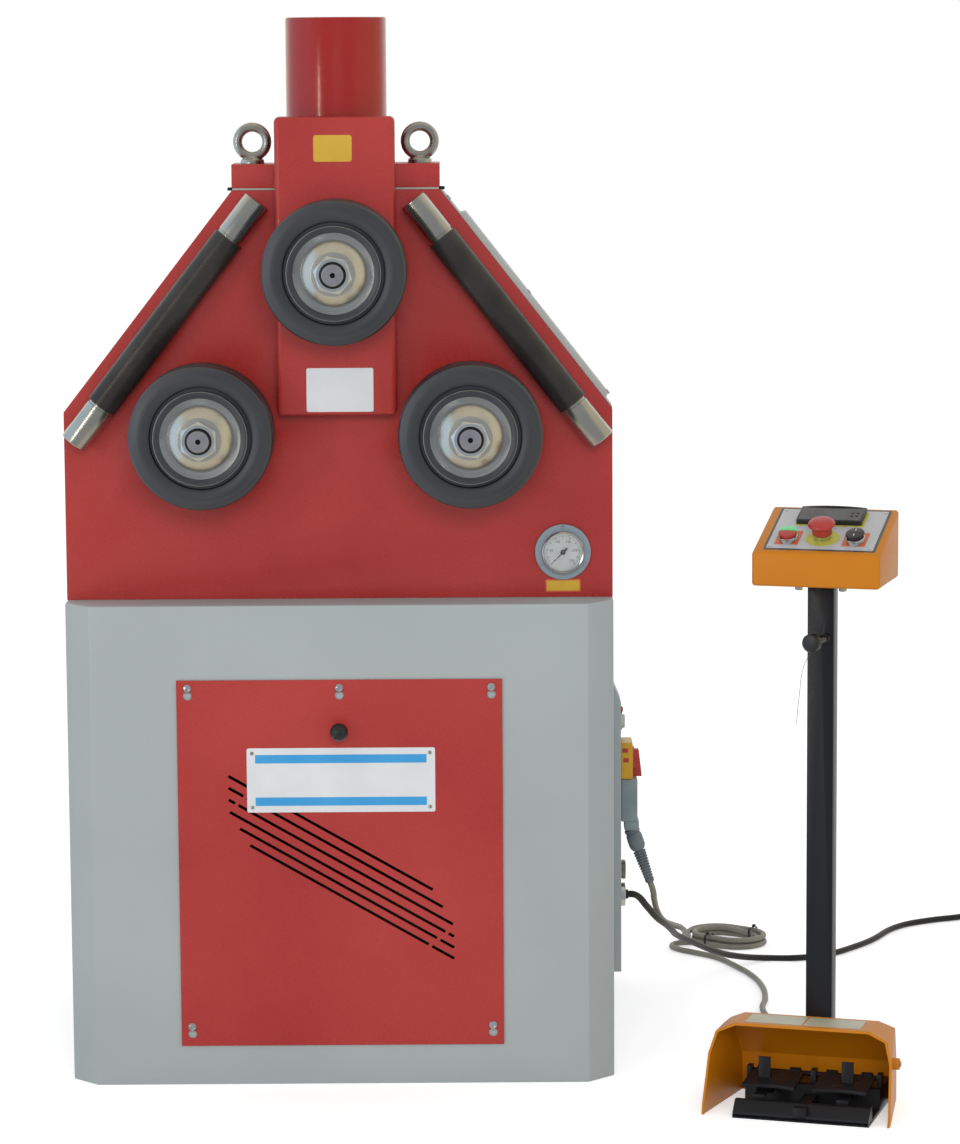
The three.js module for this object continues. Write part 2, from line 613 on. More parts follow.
function makeTopShaft(place) {
  const retainerFront = slide.blockBack + runGap;
  const end = retainerFront + shaft.topRetainerThickness;
  return turned("y", [
    ...shaftFront(), [shaft.collarRadius, shaft.topCollarBack], [shaft.neckRadius, shaft.topCollarBack],
    [shaft.neckRadius, retainerFront], [shaft.topRetainerRadius, retainerFront],
    [shaft.topRetainerRadius, end], [0, end],
  ], place);
}

function makeLowerShaft(place) {
  const gearBack = drive.front + drive.thickness;
  const endFront = gearBack + drive.endGap;
  const end = endFront + drive.endThickness;
  return turned("y", [
    ...shaftFront(), [shaft.collarRadius, shaft.lowerCollarBack], [shaft.neckRadius, shaft.lowerCollarBack],
    [shaft.neckRadius, bearing.back], [drive.seatRadius, bearing.back], [drive.seatRadius, endFront],
    [drive.endRadius, endFront], [drive.endRadius, end], [0, end],
  ], place);
}

function makeBearingCartridge(place) {
  const bodyFront = head.front + frontPlate.thickness + seatGap;
  const bore = clearBore(shaft.neckRadius);
  const back = bearing.back - runGap;
  return turned("y", [
    [bore, bearing.noseFront], [bearing.noseRadius, bearing.noseFront], [bearing.noseRadius, bodyFront],
    [bearing.bodyRadius, bodyFront], [bearing.bodyRadius, back], [bore, back],
  ], place);
}

function makeClampNut([x, z], turn) {
  const back = roll.front + roll.hubFloor - seatGap;
  const coneFront = back - clampNut.coneThickness;
  const bore = clearBore(shaft.threadRadius);
  const cone = turned("y", [
    [bore, back], [clampNut.coneRadius, back], [clampNut.coneRadius, back - clampNut.coneRim],
    [clampNut.neckRadius, coneFront], [bore, coneFront],
  ], [x, z]);
  const cornerRadius = clampNut.acrossFlats / 2 / Math.cos(Math.PI / 6);
  const hexFront = coneFront - clampNut.height;
  const hex = prism("y", circleOutline([x, z], cornerRadius, 6, turn), [hexFront, coneFront + clampNut.coneRim]);
  const hole = rod("y", bore, [hexFront - overrun, back + overrun], [x, z]);
  return cut(join(cone, hex), hole);
}

// Spur gear with straight-sided teeth. A tooth, or a gap, is centred on +X.
function gearOutline(place, teeth, module, degrees, gapFirst) {
  const pitchRadius = module * teeth / 2;
  const tip = pitchRadius + module * toothShares.addendum;
  const root = pitchRadius - module * toothShares.dedendum;
  const corners = [[root, -degrees.root], [tip, -degrees.tip], [tip, degrees.tip], [root, degrees.root]];
  const outline = [];
  for (let tooth = 0; tooth < teeth; tooth += 1) {
    const middle = (2 * Math.PI * (tooth + (gapFirst ? 1 / 2 : 0))) / teeth;
    for (const [radius, aside] of corners) {
      const angle = middle + aside * radians;
      outline.push([place[0] + radius * Math.cos(angle), place[1] + radius * Math.sin(angle)]);
    }
  }
  return outline;
}

const gearModule = (2 * roll.lowerX) / (drive.gearTeeth + drive.pinionTeeth);

function makeGear(place) {
  const back = drive.front + drive.thickness;
  const outline = gearOutline(place, drive.gearTeeth, gearModule, gearToothDegrees, false);
  const rim = prism("y", outline, [drive.front, back]);
  const hubFront = bearing.back + runGap;
  const hub = rod("y", drive.hubRadius, [hubFront, drive.front + drive.thickness / 2], place);
  const bore = rod("y", clearBore(drive.seatRadius), [hubFront - overrun, back + overrun], place);
  return cut(join(rim, hub), bore);
}

function makePinion(place) {
  const back = drive.front + drive.thickness;
  const outline = gearOutline(place, drive.pinionTeeth, gearModule, pinionToothDegrees, true);
  const stub = rod("y", drive.pinionStub, [back - overrun, drive.boxFront + drive.pinionStub], place);
  return join(prism("y", outline, [drive.front, back]), stub);
}

function makeGearbox(place) {
  const back = head.back - head.rear - seatGap;
  const body = rod("y", drive.boxRadius, [drive.boxFront, back], place);
  const socketEnd = drive.boxFront + drive.pinionStub + runGap;
  const socket = rod("y", clearBore(drive.pinionStub, shaftSides, runGap), [drive.boxFront - overrun, socketEnd], place);
  return cut(body, socket);
}

// Place on the right slope: run down it from the top corner, and height off it
function onSlope(run, height) {
  return [
    head.topHalf + slopeDown.x * run + slopeOut.x * height,
    head.topZ + slopeDown.y * run + slopeOut.y * height,
  ];
}

// Guide bar, made along Y from its foot and then laid down the slope
function makeGuideBar(side) {
  const [foot, top] = [guide.start + guide.length, guide.start].map((run) => {
    const [x, z] = onSlope(run, -guide.inset);
    return new THREE.Vector3(side * x, guide.y, z);
  });
  const { length, barRadius, sleeveRadius, endLength, chamfer } = guide;
  const bar = turned("y", [
    [0, 0], [barRadius - chamfer, 0], [barRadius, chamfer], [barRadius, endLength],
    [sleeveRadius, endLength], [sleeveRadius, length - endLength], [barRadius, length - endLength],
    [barRadius, length - chamfer], [barRadius - chamfer, length], [0, length],
  ], [0, 0]);
  const along = top.clone().sub(foot).normalize();
  const turn = new THREE.Quaternion().setFromUnitVectors(new THREE.Vector3(0, 1, 0), along);
  bar.applyQuaternion(turn).translate(foot.x, foot.y, foot.z);
  const studs = [guide.studInset, length - guide.studInset].map((run) => {
    const seat = foot.clone().addScaledVector(along, run);
    return rod("y", guide.studRadius, [guide.y, head.front - seatGap], [seat.x, seat.z], fewSides);
  });
  return join(bar, ...studs);
}

// Gauge

function makeGaugeCase() {
  const back = head.front - seatGap;
  const flangeFront = back - gauge.flangeThickness;
  const inner = gauge.bezelRadius - gauge.bezelWall;
  const spigotEnd = gauge.bodyBack + gauge.spigotLength;
  const body = turned("y", [
    [0, gauge.dialFront], [inner, gauge.dialFront], [inner, gauge.bezelFront],
    [gauge.bezelRadius, gauge.bezelFront], [gauge.bezelRadius, flangeFront],
    [gauge.flangeRadius, flangeFront], [gauge.flangeRadius, back], [gauge.bodyRadius, back],
    [gauge.bodyRadius, gauge.bodyBack], [gauge.spigotRadius, gauge.bodyBack],
    [gauge.spigotRadius, spigotEnd], [0, spigotEnd],
  ], [gaugeX, gauge.z]);
  const screws = circleOutline([gaugeX, gauge.z], gauge.screwRing, 3, quarterTurn * radians).map((place) =>
    rod("y", gauge.screwRadius, [flangeFront - gauge.screwHead, back - gauge.screwHead], place, fewSides / 2));
  return join(body, ...screws);
}

function makeNeedle() {
  const back = needle.front + needle.thickness;
  const { halfWidth, tail, length } = needle;
  const point = [
    [-halfWidth, tail], [-halfWidth / 3, -length], [halfWidth / 3, -length], [halfWidth, tail],
  ];
  const blade = surface(join(
    prism("y", point, [needle.front, back]),
    rod("y", needle.hubRadius, [needle.front, back], [0, 0], fewSides),
    rod("y", needle.spindle, [needle.front + needle.thickness / 2, gauge.dialFront - seatGap], [0, 0], fewSides),
  ));
  return blade.rotateY(needle.restDegrees * radians).translate(gaugeX, 0, gauge.z);
}

// Right side

function makeSlopeCover() {
  const { sheet, proud, from, to, bevel, endMargin } = slopeCover;
  const low = seatGap;
  const outline = [
    onSlope(endMargin, low), onSlope(endMargin, low + sheet), onSlope(from, low + sheet),
    onSlope(from + bevel, low + proud), onSlope(to - bevel, low + proud), onSlope(to, low + sheet),
    onSlope(slopeLength - endMargin, low + sheet), onSlope(slopeLength - endMargin, low),
  ];
  return prism("y", outline, [slopeCover.front, slopeCover.back]);
}

function makeSideBox() {
  const inX = seatGap;
  const { out, low, shoulder, high, front, back, wall } = sideBox;
  const outer = prism("y", [[inX, low], [out, low], [out, shoulder], [inX, high]], [front, back]);
  const lean = (out - inX) / (high - shoulder);
  const shift = wall * Math.hypot(out - inX, high - shoulder) / (high - shoulder);
  const kneeZ = shoulder - (shift - wall) / lean;
  const mouthX = inX - overrun;
  const room = [
    [mouthX, low + wall], [out - wall, low + wall], [out - wall, kneeZ],
    [mouthX, kneeZ + (out - wall - mouthX) / lean],
  ];
  const inside = prism("y", room, [front + wall, back - wall]);
  const place = [fittings.y, button.z];
  const bezel = rod("x", button.bezelRadius, [out - wall / 2, out + button.bezelProud], place);
  const hole = rod("x", clearBore(button.radius, shaftSides, runGap), [inX - overrun, out + button.bezelProud + overrun], place);
  return cut(join(cut(outer, inside), bezel), hole);
}

function makeSideButton() {
  return rod("x", button.radius, [button.stemIn, sideBox.out + button.proud], [fittings.y, button.z]);
}

const sideFace = sideBox.out + seatGap;

const switchFace = sideFace + switchBody.thickness;

function makeSwitchBody() {
  const { low, high, halfWidth, bevel } = switchBody;
  const outline = chamferedOutline([fittings.y - halfWidth, fittings.y + halfWidth], [low, high], bevel);
  return prism("x", outline, [sideFace, switchFace]);
}

function makeSwitchHandle() {
  const back = switchFace + seatGap;
  const hub = rod("x", handle.hubRadius, [back, back + handle.hubThickness], [fittings.y, handle.z]);
  const grip = block(
    [back + handle.hubThickness / 2, switchFace + handle.proud],
    [fittings.y - handle.halfWidth, fittings.y + handle.halfWidth],
    [handle.z - handle.down, handle.z + handle.up],
  );
  return join(hub, grip);
}

// Direction of the grey cable's outlet, down and away from the side
const outletWay = new THREE.Vector3(
  Math.sin(outlet.leanDegrees * radians), 0, -Math.cos(outlet.leanDegrees * radians),
);

// Moves a piece made along Y from zero onto the outlet's line, starting at the given run.
function onOutlet(geometry, run) {
  const turn = new THREE.Quaternion().setFromUnitVectors(new THREE.Vector3(0, 1, 0), outletWay);
  const start = outletWay.clone().multiplyScalar(run).add(new THREE.Vector3(outlet.x, fittings.y, outlet.z));
  return geometry.applyQuaternion(turn).translate(start.x, start.y, start.z);
}

function makeConnectorHood() {
  const { low, high, halfWidth, bevel } = hood;
  const out = sideFace + hood.proud;
  const outline = [
    [sideFace, low], [sideFace + hood.toe, low], [out, low + bevel], [out, high - bevel],
    [out - bevel / 2, high], [sideFace, high],
  ];
  const body = prism("y", outline, [fittings.y - halfWidth, fittings.y + halfWidth]);
  const nut = onOutlet(rod("y", outlet.nutRadius, [0, outlet.root + outlet.nutLength], [0, 0], fewSides / 2), -outlet.root);
  return join(body, nut);
}

// Ribbed sleeve that narrows towards the cable
function makeBendRelief() {
  const start = outlet.nutLength + seatGap;
  const ribbed = relief.length - relief.plain;
  const pitch = ribbed / relief.ribs;
  const profile = [[0, 0]];
  for (let rib = 0; rib < relief.ribs; rib += 1) {
    const radius = relief.ribRadius + (relief.tailRadius - relief.ribRadius) * (rib / (relief.ribs - 1));
    profile.push([radius, rib * pitch], [radius * relief.grooveShare, (rib + 1 / 2) * pitch]);
  }
  profile.push([relief.tailRadius, ribbed], [relief.tailRadius, relief.length], [0, relief.length]);
  return onOutlet(turned("y", profile, [0, 0], relief.sides), start);
}

function makeMainsFlange() {
  const { radius, thickness, nutRadius, length } = mainsFlange;
  const place = [fittings.y, mainsFlange.z];
  const disc = rod("x", radius, [sideFace, sideFace + thickness], place);
  const nut = rod("x", nutRadius, [sideFace + thickness / 2, sideFace + length], place, fewSides / 2);
  return join(disc, nut);
}

function makePowerPack() {
  const low = cabinet.floorSheet + seatGap;
  const tankTop = low + pack.tankHeight;
  const middleY = (pack.front + pack.back) / 2;
  const tank = prism(
    "z",
    chamferedOutline([-pack.halfWidth, pack.halfWidth], [pack.front, pack.back], pack.tankEdge),
    [low, tankTop],
  );
  const lid = block(
    [-pack.halfWidth + pack.plateMargin, pack.halfWidth - pack.plateMargin],
    [pack.front + pack.plateMargin, pack.back - pack.plateMargin],
    [tankTop - pack.plate, tankTop + pack.plate],
  );
  const motorTop = tankTop + pack.motorHeight;
  const motor = rod("z", pack.motorRadius, [tankTop, motorTop], [pack.motorX, middleY]);
  const fan = rod("z", pack.fanRadius, [motorTop - pack.plate, motorTop + pack.fanHeight], [pack.motorX, middleY]);
  const valve = block(
    [pack.valveX - pack.valveHalf, pack.valveX + pack.valveHalf],
    [middleY - pack.valveHalf, middleY + pack.valveHalf],
    [tankTop, tankTop + pack.valveHeight],
  );
  return join(tank, lid, motor, fan, valve);
}

// Foot unit of the control stand

function makeFootBase() {
  const { left, right, front, plate, blockFront, back, blockHigh } = footBase;
  const floor = block([left, right], [front, back], [0, plate]);
  const rear = block([left, right], [blockFront, back], [0, blockHigh]);
  const rib = block([footBase.ribLeft, footBase.ribRight], [front, blockFront + plate], [0, footBase.ribHigh]);
  const lugY = [hinge.y - footBase.lugHalf, hinge.y + footBase.lugHalf];
  const lugZ = [blockHigh - plate, hinge.z + footBase.lugHalf];
  const centre = (footBase.ribLeft + footBase.ribRight) / 2;
  const lugs = [
    block([left, left + footBase.lugThickness], lugY, lugZ),
    block([centre - footBase.centreLug / 2, centre + footBase.centreLug / 2], lugY, lugZ),
    block([right - footBase.lugThickness, right], lugY, lugZ),
  ];
  const pin = rod("x", hinge.radius, [left + plate / 2, right - plate / 2], [hinge.y, hinge.z], fewSides);
  return join(floor, rear, rib, ...lugs, pin);
}

function pedalTop(y) {
  return pedal.frontZ + (pedal.backZ - pedal.frontZ) * ((y - pedal.front) / (pedal.back - pedal.front));
}

function makePedal(span) {
  const { front, back, thickness, dip } = pedal;
  const side = [
    [front, pedalTop(front)], [back, pedalTop(back)], [back, pedalTop(back) - thickness],
    [front, pedalTop(front) - thickness],
  ];
  const tread = prism("x", side, [span.from, span.to]);
  const middle = (span.from + span.to) / 2;
  const dipRadius = ((span.to - span.from) ** 2 / 4 + dip ** 2) / (2 * dip);
  const scoop = rod(
    "z", dipRadius, [latch.tabLow, hinge.z + overrun], [middle, front + dip - dipRadius], rollSides * 2,
  );
  const slit = block(
    [span.latch - pedal.slotHalf, span.latch + pedal.slotHalf],
    [pedal.slotFront, pedal.slotBack],
    [latch.tabLow, hinge.z + overrun],
  );
  const bore = clearBore(hinge.radius, fewSides);
  const knuckles = span.knuckles.map((x) => join(
    rod("x", bore + pedal.knuckleWall, [x, x + pedal.knuckleWidth], [hinge.y, hinge.z], fewSides),
    block([x, x + pedal.knuckleWidth], [back - thickness, hinge.y], [pedalTop(back) - thickness, pedalTop(back)]),
  ));
  const hole = rod("x", bore, [span.from - overrun, span.to + overrun], [hinge.y, hinge.z], fewSides);
  const lugInner = latch.halfWidth + runGap;
  const lugs = [-1, 1].map((way) => {
    const xs = [span.latch + way * lugInner, span.latch + way * (lugInner + latch.lugThickness)].sort((a, b) => a - b);
    return block(
      xs,
      [latch.y - latch.eyeRadius, latch.y + latch.eyeRadius + latch.lugThickness],
      [latch.z - latch.eyeRadius, pedalTop(latch.y) - thickness / 2],
    );
  });
  const reach = lugInner + latch.lugThickness / 2;
  const pin = rod("x", latch.pinRadius, [span.latch - reach, span.latch + reach], [latch.y, latch.z], fewSides);
  return join(cut(join(cut(tread, scoop), ...knuckles), slit, hole), ...lugs, pin);
}

function makeToeLatch(span) {
  const xs = [span.latch - latch.halfWidth, span.latch + latch.halfWidth];
  const postBack = latch.y + latch.post / 2;
  const postFront = latch.y - latch.post / 2;
  const eye = rod("x", latch.eyeRadius, xs, [latch.y, latch.z], fewSides);
  const post = block(xs, [postFront, postBack], [latch.z, latch.postTop]);
  const arm = block(xs, [latch.armFront, latch.y], [latch.armHigh - latch.arm, latch.armHigh]);
  const tab = block(xs, [latch.armFront - latch.arm, latch.armFront], [latch.tabLow, latch.armHigh]);
  const bore = rod("x", clearBore(latch.pinRadius, fewSides), [xs[0] - overrun, xs[1] + overrun], [latch.y, latch.z], fewSides);
  return cut(join(eye, post, arm, tab), bore);
}

function makeFootGuard() {
  const side = (inset) => {
    const front = inset ? -overrun : 0;
    const roofFront = inset ? -overrun : guard.roofFront;
    const low = inset ? -overrun : 0;
    return [
      [front, low], [roofFront, guard.top - inset], [guard.roofBack - inset / 2, guard.top - inset],
      [guard.rear - inset, guard.rearHigh - inset / 2], [guard.rear - inset, low],
    ];
  };
  const front = (inset) => {
    const low = inset ? -overrun : 0;
    const right = [
      [guard.floorHalf - inset, low], [guard.lowHalf - inset, guard.lowZ],
      [guard.highHalf - inset, guard.highZ - inset / 2], [guard.topHalf - inset / 2, guard.top - inset],
    ];
    const left = right.map(([half, z]) => [-half, z]).reverse();
    return [...right, ...left].map(([half, z]) => [guard.x + half, z]);
  };
  // Seen from above, the side walls draw together towards the rear
  const plan = (inset) => {
    const half = guard.lowHalf - inset;
    const back = guard.rear + overrun;
    const backHalf = half - guard.taper * back / guard.rear;
    return [[-half, -overrun], [half, -overrun], [backHalf, back], [-backHalf, back]].map(([x, y]) => [guard.x + x, y]);
  };
  const reach = guard.lowHalf + overrun;
  const form = (inset) => common(
    common(
      prism("x", side(inset), [guard.x - reach, guard.x + reach]),
      prism("y", front(inset), [-overrun - inset, guard.rear + overrun]),
    ),
    prism("z", plan(inset), [-overrun, guard.top + overrun]),
  );
  const boss = rod("x", guard.bossRadius, [guard.bossFrom, guard.bossTo], [guard.bossY, guard.bossZ], fewSides);
  return cut(join(form(0), boss), form(guard.wall));
}

// Column and control box

const knobStart = new THREE.Vector3(clampKnob.x, column.front, clampKnob.z);

// Turns a piece made along Y from zero to the clamp screw's line, which leans off straight ahead.
function onClampLine(geometry, run) {
  const lean = clampKnob.leanDegrees * radians;
  const way = new THREE.Vector3(-Math.sin(lean), -Math.cos(lean), 0);
  const turn = new THREE.Quaternion().setFromAxisAngle(new THREE.Vector3(0, 0, 1), Math.PI - lean);
  const start = knobStart.clone().addScaledVector(way, run);
  return geometry.applyQuaternion(turn).translate(start.x, start.y, start.z);
}

function makeOuterColumn() {
  const { x, halfWidth, front, back, wall, top } = column;
  const tube = block([x - halfWidth, x + halfWidth], [front, back], [0, top]);
  const foot = block([x - column.footHalf, x + column.footHalf], [column.footFront, column.footBack], [0, column.foot]);
  const bore = block([x - halfWidth + wall, x + halfWidth - wall], [front + wall, back - wall], [-overrun, top + overrun]);
  const boss = onClampLine(rod("y", clampKnob.bossRadius, [-wall / 2, clampKnob.bossLength], [0, 0], fewSides), 0);
  const screwHole = onClampLine(
    rod("y", clearBore(clampKnob.stemRadius, fewSides), [-2 * wall, clampKnob.bossLength + overrun], [0, 0], fewSides), 0,
  );
  const glandRing = rod("y", gland.radius, [back - wall / 2, back + gland.length], [x, gland.z], fewSides);
  const glandBore = rod("y", gland.boreRadius, [back - 2 * wall, back + gland.length + overrun], [x, gland.z], fewSides);
  return cut(join(tube, foot, boss, glandRing), bore, screwHole, glandBore);
}

function makeInnerColumn() {
  const inset = column.wall + column.innerGap;
  const xs = [column.x - column.halfWidth + inset, column.x + column.halfWidth - inset];
  const ys = [column.front + inset, column.back - inset];
  const top = controlBox.low - seatGap;
  const wall = column.innerWall;
  const tube = block(xs, ys, [column.innerLow, top]);
  const bore = block(
    [xs[0] + wall, xs[1] - wall], [ys[0] + wall, ys[1] - wall], [column.innerLow - overrun, top + overrun],
  );
  return cut(tube, bore);
}

function makeClampKnob() {
  const { stemRadius, neckRadius, bossLength, discRadius, discThickness, reach } = clampKnob;
  const neckStart = bossLength + runGap;
  const neckEnd = reach - discThickness;
  const chamfer = discThickness / 4;
  return onClampLine(turned("y", [
    [0, 0], [stemRadius, 0], [stemRadius, neckStart], [neckRadius, neckStart], [neckRadius, neckEnd],
    [discRadius, neckEnd], [discRadius, reach - chamfer], [discRadius - chamfer, reach], [0, reach],
  ], [0, 0], fewSides), 0);
}

const boxSlope = Math.atan2(controlBox.backHigh - controlBox.frontHigh, controlBox.back - controlBox.front);

// Moves a piece from the sloping face's own frame, whose x is across, y up the slope and z off it.
function onPanel(geometry) {
  return geometry.rotateX(boxSlope).translate(0, controlBox.front, controlBox.frontHigh);
}

function makeControlBox() {
  const { halfWidth, front, back, low, frontHigh, wall, edge } = controlBox;
  const rise = Math.tan(boxSlope);
  const drop = wall / Math.cos(boxSlope);
  const faceZ = (y) => frontHigh + rise * (y - front);
  const outer = prism("x", [
    [front + edge, low], [back - edge, low], [back, low + edge], [back, faceZ(back) - edge],
    [back - edge, faceZ(back - edge)], [front + edge, faceZ(front + edge)], [front, frontHigh - edge], [front, low + edge],
  ], [-halfWidth, halfWidth]);
  const room = prism("x", [
    [front + wall, low + wall], [back - wall, low + wall], [back - wall, faceZ(back - wall) - drop],
    [front + wall, faceZ(front + wall) - drop],
  ], [-halfWidth + wall, halfWidth - wall]);
  const through = [-wall - overrun, readout.hoodHigh];
  const cable = rod("z", cableHole.radius, [low - overrun, low + wall + overrun], [cableHole.x, column.front + (column.back - column.front) / 2], fewSides);
  const stopCollar = onPanel(rod("z", stop.collarRadius, [-wall / 2, stop.collar], [stop.x, stop.y]));
  const stopHole = onPanel(rod("z", clearBore(stop.stemRadius, shaftSides, runGap), through, [stop.x, stop.y]));
  const wells = [-1, 1].map((side) => onPanel(rod("z", rocker.bezelRadius, [-wall / 2, rocker.bezelHigh], [side * rocker.x, rocker.y])));
  const wellHoles = [-1, 1].map((side) =>
    onPanel(rod("z", clearBore(rocker.radius, shaftSides, runGap), through, [side * rocker.x, rocker.y])));
  const screen = onPanel(block([-readout.halfWidth, readout.halfWidth], [readout.front, readout.back], [-wall / 2, readout.high]));
  const visor = onPanel(prism("x", [
    [readout.hoodFront, readout.high / 2], [readout.back, readout.high / 2], [readout.back, readout.hoodHigh],
    [readout.hoodFront + readout.high, readout.hoodHigh],
  ], [-readout.halfWidth, readout.halfWidth]));
  return cut(join(cut(outer, room), stopCollar, ...wells, screen, visor), cable, stopHole, ...wellHoles);
}

function makeEmergencyStop() {
  const { stemRadius, headRadius, headLow, headHigh } = stop;
  const stemLow = -controlBox.wall - stop.press;
  const round = (headHigh - headLow) / 3;
  return turned("z", [
    [0, stemLow], [stemRadius, stemLow], [stemRadius, headLow], [headRadius - round / 2, headLow],
    [headRadius, headLow + round / 2], [headRadius, headHigh - round], [headRadius - round, headHigh], [0, headHigh],
  ], [stop.x, stop.y]);
}

// One half of a divided push button: way is +1 for the upper half and -1 for the lower.
function makeButtonHalf(x, way) {
  const low = -controlBox.wall - rocker.press;
  const disc = rod("z", rocker.radius, [low, rocker.high], [x, rocker.y]);
  const reach = rocker.radius + overrun;
  const keepY = [rocker.y + way * rocker.split, rocker.y + way * reach].sort((a, b) => a - b);
  return common(disc, block([x - reach, x + reach], keepY, [low - overrun, rocker.high + overrun]));
}

// Cords

function cordTube(line, { radius, sides }) {
  const path = new THREE.CatmullRomCurve3(line.map((place) => new THREE.Vector3(...place)), false, "centripetal");
  const steps = Math.ceil(path.getLength() / (stepDiameters * 2 * radius));
  const ring = new THREE.Shape(circleOutline([0, 0], radius, sides).map(([a, b]) => new THREE.Vector2(a, b)));
  return new THREE.ExtrudeGeometry(ring, { steps, extrudePath: path });
}

// Place on a flat loop of two round ends and two straight runs, going round clockwise from above
function loopPlace(phase, radius, { halfStraight, arcSteps }) {
  const halfLoop = loopSteps / 2;
  const lap = Math.floor(phase / halfLoop);
  const step = phase - lap * halfLoop;
  const side = lap % 2 === 0 ? 1 : -1;
  const angle = -Math.PI / 2 - Math.PI * Math.min(step / arcSteps, 1);
  const runSteps = halfLoop - arcSteps;
  const run = runSteps > 0 ? Math.max(step - arcSteps, 0) / runSteps : 0;
  return [
    side * (-halfStraight + 2 * halfStraight * run + radius * Math.cos(angle)),
    side * radius * Math.sin(angle),
  ];
}

// Centre line of loops in two layers. It spirals in along the first layer, changes layer in the half
// turn where it reverses, and spirals out along the second. Each end runs straight for a diameter.
function woundLine(shape, startZ, endZ, endPhase, straight) {
  const middle = shape.steps / 2;
  const climb = loopSteps / 2;
  const cosine = Math.cos(shape.alongDegrees * radians);
  const sine = Math.sin(shape.alongDegrees * radians);
  const line = [];
  for (let i = 0; i <= shape.steps; i += 1) {
    const radius = shape.outerRadius - shape.pitch * (middle - Math.abs(i - middle)) / loopSteps;
    const firstPhase = endPhase - shape.steps + loopSteps * Math.ceil(shape.steps / loopSteps);
    const [a, b] = loopPlace(firstPhase + i, radius, shape);
    const share = Math.min(Math.max((i - middle) / climb + 1 / 2, 0), 1);
    const height = startZ + (endZ - startZ) * (1 - Math.cos(Math.PI * share)) / 2;
    line.push(new THREE.Vector3(
      shape.centre[0] + a * cosine - b * sine, shape.centre[1] + a * sine + b * cosine, height,
    ));
  }
  const first = line[0].clone().multiplyScalar(2).sub(line[1]).sub(line[0]).setZ(0).setLength(straight);
  const last = line[shape.steps].clone().sub(line[shape.steps - 1]).setZ(0).setLength(straight);
  return [line[0].clone().add(first), ...line, line[shape.steps].clone().add(last)];
}

// One unbroken tube of six sides through every place of a line
function woundTube(line, radius) {
  const places = [];
  const corners = [];
  const up = new THREE.Vector3(0, 0, 1);
  line.forEach((place, i) => {
    const before = line[Math.max(i - 1, 0)];
    const after = line[Math.min(i + 1, line.length - 1)];
    const along = after.clone().sub(before).normalize();
    const across = up.clone().cross(along).normalize();
    const over = along.clone().cross(across);
    for (let k = 0; k < coilSides; k += 1) {
      const angle = (2 * Math.PI * k) / coilSides;
      const corner = place.clone();
      corner.addScaledVector(across, radius * Math.cos(angle)).addScaledVector(over, radius * Math.sin(angle));
      places.push(corner.x, corner.y, corner.z);
    }
  });
  for (let i = 0; i < line.length - 1; i += 1) {
    for (let k = 0; k < coilSides; k += 1) {
      const next = (k + 1) % coilSides;
      const [a, b] = [i * coilSides + k, i * coilSides + next];
      corners.push(a, b, b + coilSides, a, b + coilSides, a + coilSides);
    }
  }
  const end = (line.length - 1) * coilSides;
  for (let k = 1; k < coilSides - 1; k += 1) {
    corners.push(0, k + 1, k, end, end + k, end + k + 1);
  }
  const geometry = new THREE.BufferGeometry();
  geometry.setAttribute("position", new THREE.Float32BufferAttribute(places, 3));
  geometry.setIndex(corners);
  return geometry;
}

// Least gap between two turns, measured on points a quarter step apart
function leastGap(line, radius) {
  const fine = [];
  for (let i = 0; i < line.length - 1; i += 1) {
    for (const share of [0, 1 / 4, 1 / 2, 3 / 4]) {
      fine.push(line[i].clone().lerp(line[i + 1], share));
    }
  }
  let least = Infinity;
  for (let i = 0; i < fine.length; i += 1) {
    for (let j = i + loopSteps; j < fine.length; j += 1) {
      least = Math.min(least, fine[i].distanceTo(fine[j]) - 2 * radius);
    }
  }
  return least;
}

const greyLow = greyCord.radius + floorLift;
const greyHigh = greyLow + 2 * greyCord.radius + layerGap;
const mainsLow = mainsCord.radius + floorLift;
const mainsHigh = mainsLow + 2 * mainsCord.radius + layerGap;
const hankLine = woundLine(hank, greyHigh, greyLow, 0, 2 * greyCord.radius);
const coilLine = woundLine(mainsCoil, mainsLow, mainsHigh, mainsCoil.endPhase, 2 * mainsCord.radius);

// The mains coil's last stretch rises to the plug's height over a short run, then lies level
const coilEnd = coilLine.pop();
const coilWay = coilEnd.clone().sub(coilLine[coilLine.length - 1]).normalize();
const riseSteps = 4;
for (let i = 1; i <= riseSteps; i += 1) {
  const place = coilEnd.clone().addScaledVector(coilWay, (plug.rise * (i - 1)) / riseSteps);
  const share = (1 - Math.cos((Math.PI * (i - 1)) / (riseSteps - 1))) / 2;
  coilLine.push(place.setZ(mainsHigh + (plug.z - mainsHigh) * share));
}
coilLine.push(coilLine[coilLine.length - 1].clone().addScaledVector(coilWay, 2 * mainsCord.radius));
console.log("least gap of the grey hank to itself, mm:", leastGap(hankLine, greyCord.radius).toFixed(2));
console.log("least gap of the mains coil to itself, mm:", leastGap(coilLine, mainsCord.radius).toFixed(2));

// A lead's line that starts or ends square against the end of a coil
function towards(end, inner, distance) {
  return end.clone().add(end.clone().sub(inner).setLength(distance)).toArray();
}

const hankStart = [towards(hankLine[0], hankLine[1], 2 * greyCord.radius), towards(hankLine[0], hankLine[1], seatGap)];
const hankLast = hankLine.length - 1;
const hankExit = [
  towards(hankLine[hankLast], hankLine[hankLast - 1], seatGap),
  towards(hankLine[hankLast], hankLine[hankLast - 1], greyCord.radius),
];
const coilStart = [towards(coilLine[0], coilLine[1], 3 * mainsCord.radius), towards(coilLine[0], coilLine[1], seatGap)];

